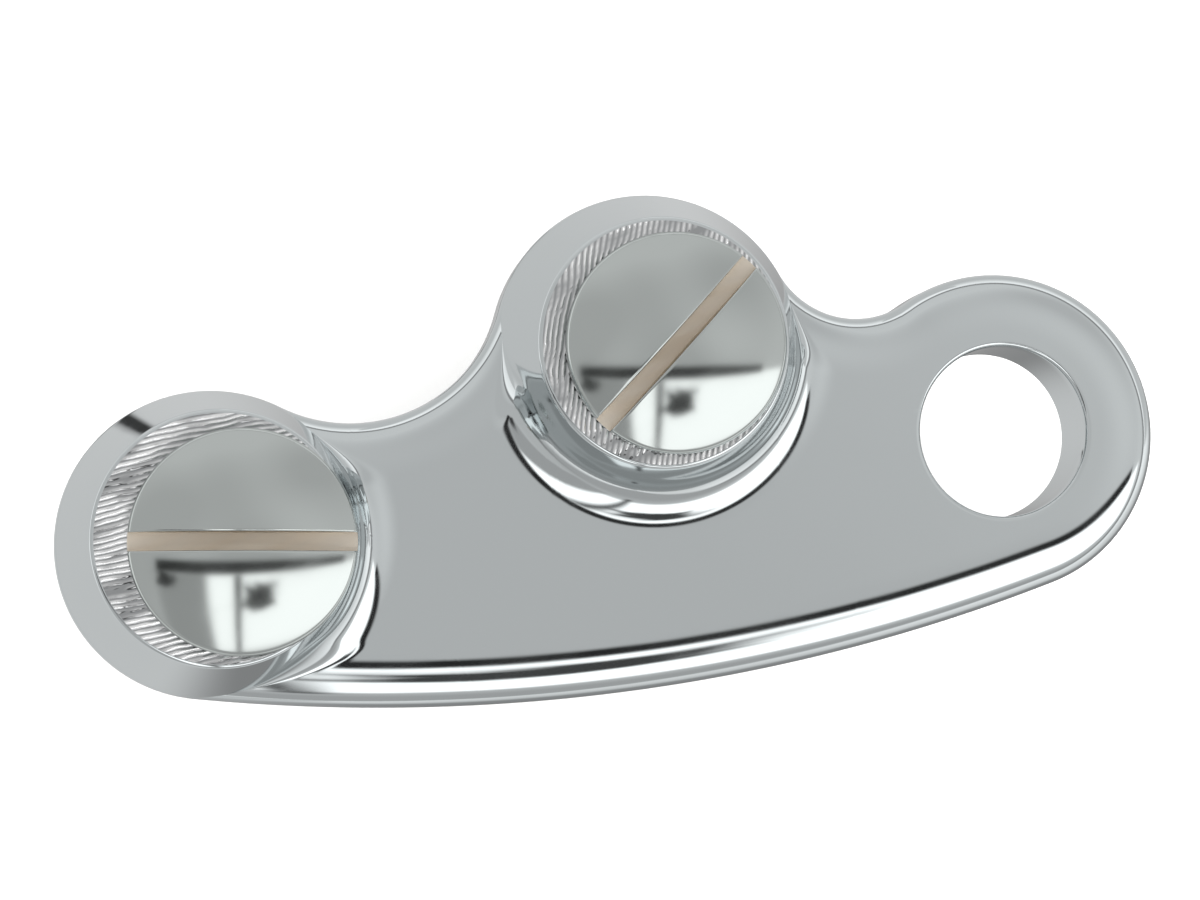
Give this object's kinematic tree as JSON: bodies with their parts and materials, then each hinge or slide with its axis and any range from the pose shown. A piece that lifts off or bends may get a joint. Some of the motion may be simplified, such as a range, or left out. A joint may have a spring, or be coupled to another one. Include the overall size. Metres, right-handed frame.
{
  "type": "fork rocker arm",
  "caption": "Chrome-plated forged rocker arm of a sprung motorcycle front fork, with slotted dome-headed pivot studs in raised bosses and a plain axle eye.",
  "frame": {"origin": "centre of the axle bore, on the flat inner face of the arm", "axes": "+Z along the bores towards the domed stud heads, +X parallel to the line from the rear pivot to the front pivot"},
  "size_m": [0.1198, 0.0603, 0.0565],
  "materials": {
    "arm_chrome": "polished",
    "stud_chrome": "polished",
    "bush_bronze": "machined",
    "washer_steel": "ground",
    "zinc_steel": "zinc plated",
    "spring_steel": "polished",
    "seal_rubber": "moulded"
  },
  "bodies": {
    "arm": {"rocker_arm": "arm_chrome", "rear_bush": "bush_bronze", "rear_dust_seal": "seal_rubber", "front_bush": "bush_bronze", "front_dust_seal": "seal_rubber"},
    "rear_stud_set": {"rear_pivot_stud": "stud_chrome", "rear_head_washer": "washer_steel", "rear_thrust_washer": "washer_steel", "rear_lock_washer": "zinc_steel", "rear_stud_nut": "zinc_steel", "rear_grease_nipple": "zinc_steel", "rear_nipple_spring": "spring_steel"},
    "rear_check_ball": {"rear_nipple_ball": "spring_steel"},
    "front_stud_set": {"front_pivot_stud": "stud_chrome", "front_head_washer": "washer_steel", "front_thrust_washer": "washer_steel", "front_lock_washer": "zinc_steel", "front_stud_nut": "zinc_steel", "front_grease_nipple": "zinc_steel", "front_nipple_spring": "spring_steel"},
    "front_check_ball": {"front_nipple_ball": "spring_steel"}
  },
  "joints": [
    {"name": "rear_pivot", "type": "hinge", "parent": "arm", "child": "rear_stud_set", "pos_m": [-0.0819, 0.024, 0], "axis": [0, 0, 1], "continuous": true},
    {"name": "rear_check_ball_press", "type": "slide", "parent": "rear_stud_set", "child": "rear_check_ball", "axis": [0, 0, 1], "range_m": [0, 0.0006], "deforming": ["rear_nipple_spring"]},
    {"name": "front_pivot", "type": "hinge", "parent": "arm", "child": "front_stud_set", "pos_m": [-0.0311, 0.024, 0], "axis": [0, 0, 1], "continuous": true},
    {"name": "front_check_ball_press", "type": "slide", "parent": "front_stud_set", "child": "front_check_ball", "axis": [0, 0, 1], "range_m": [0, 0.0006], "deforming": ["front_nipple_spring"]}
  ]
}
